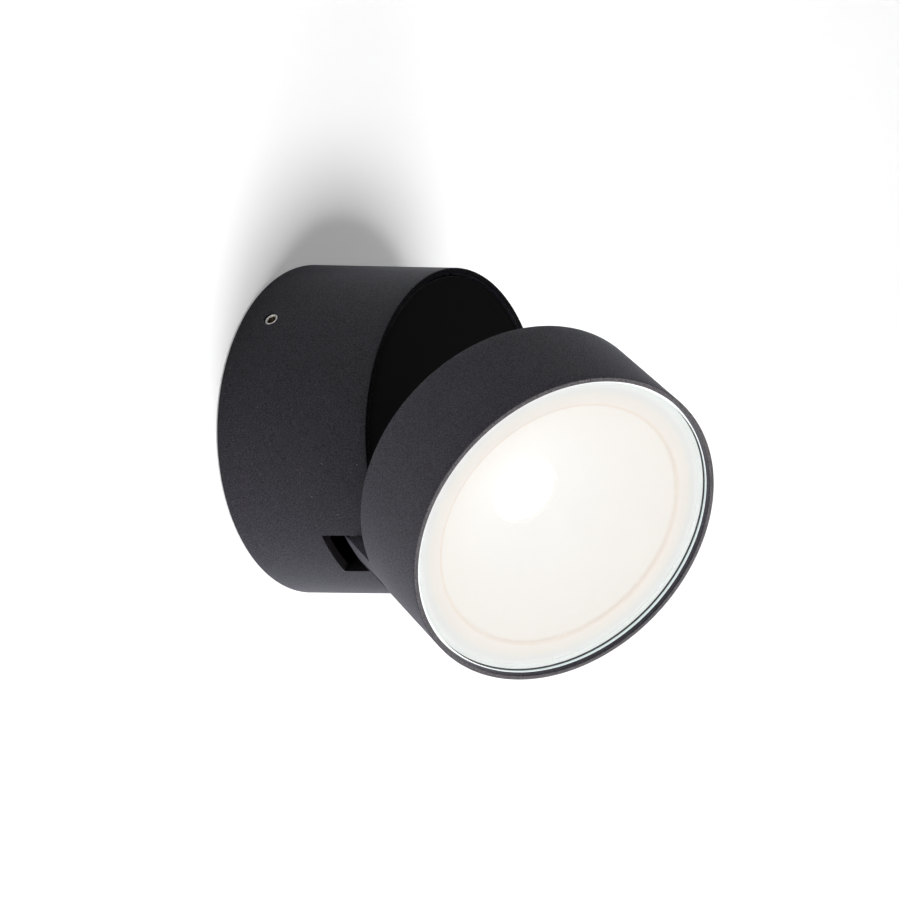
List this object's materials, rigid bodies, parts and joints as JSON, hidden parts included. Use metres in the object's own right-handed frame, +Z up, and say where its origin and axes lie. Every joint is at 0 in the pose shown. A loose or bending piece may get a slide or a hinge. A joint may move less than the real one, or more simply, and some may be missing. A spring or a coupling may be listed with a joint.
{
  "type": "pivoting spotlight wall light",
  "caption": "Round wall spotlight: a drum clamped on a wall plate, with a round lamp head hinged in a slot in its side.",
  "frame": {"origin": "centre of the wall plate's back face, on the wall", "axes": "the wall is the XZ plane, +Z up, +X right for someone facing the wall; the light stands out along -Y"},
  "size_m": [0.1111, 0.1241, 0.1122],
  "materials": {
    "graphite_powder_coat": "die-cast aluminium under a fine textured matt powder coat",
    "black_plastic": "matt moulded",
    "black_primed_aluminium": "die-cast under a matt black primer",
    "black_steel": "black zinc plate",
    "zinc_plated_steel": "bright zinc plate",
    "stainless_steel": "turned",
    "brass": "plain",
    "black_rubber": "matt",
    "clear_silicone": "satin",
    "white_nylon": "moulded",
    "white_reflector": "matt diffuse white",
    "circuit_board": "solder mask",
    "transformer_tape": "wound tape",
    "capacitor_sleeve": "shrunk sleeve",
    "white_board": "white solder mask on aluminium",
    "thermal_gum": "matt",
    "led_phosphor": "silicone over phosphor",
    "lens_glass": "clear, polished edge",
    "lead_sheath": "satin"
  },
  "bodies": {
    "root": {"wall_plate": "black_primed_aluminium", "cable_grommet": "black_rubber", "terminal_block": "white_nylon", "terminal_tubes": "brass", "terminal_screws": "zinc_plated_steel", "terminal_fixing_screws": "zinc_plated_steel", "earth_tag": "brass", "earth_screw": "zinc_plated_steel"},
    "drum": {"drum_housing": "graphite_powder_coat", "grub_screws": "stainless_steel", "front_cover": "black_plastic", "driver_case": "white_nylon", "driver_lid": "white_nylon", "driver_board": "circuit_board", "driver_transformer": "transformer_tape", "driver_capacitors": "capacitor_sleeve", "driver_bar": "zinc_plated_steel", "driver_bar_screws": "zinc_plated_steel", "driver_case_screws": "zinc_plated_steel", "hinge_pin": "stainless_steel", "friction_washers": "stainless_steel", "hinge_retainer": "black_steel", "hinge_retainer_screws": "black_steel", "drum_lead": "lead_sheath"},
    "head": {"head_housing": "graphite_powder_coat", "thermal_pad": "thermal_gum", "led_board": "white_board", "led_emitter": "led_phosphor", "led_screws": "stainless_steel", "reflector": "white_reflector", "lens_seal": "clear_silicone", "lens_glass": "lens_glass", "head_lead": "lead_sheath"}
  },
  "joints": [
    {"name": "drum_swivel", "type": "hinge", "parent": "root", "child": "drum", "pos_m": [0, 0, 0], "axis": [0, 1, 0], "range_deg": [-170, 170]},
    {"name": "head_tilt", "type": "hinge", "parent": "drum", "child": "head", "pos_m": [-0.02796, -0.03705, -0.02999], "axis": [0.7314, 0, -0.682], "range_deg": [-36.1, 53.9]}
  ]
}
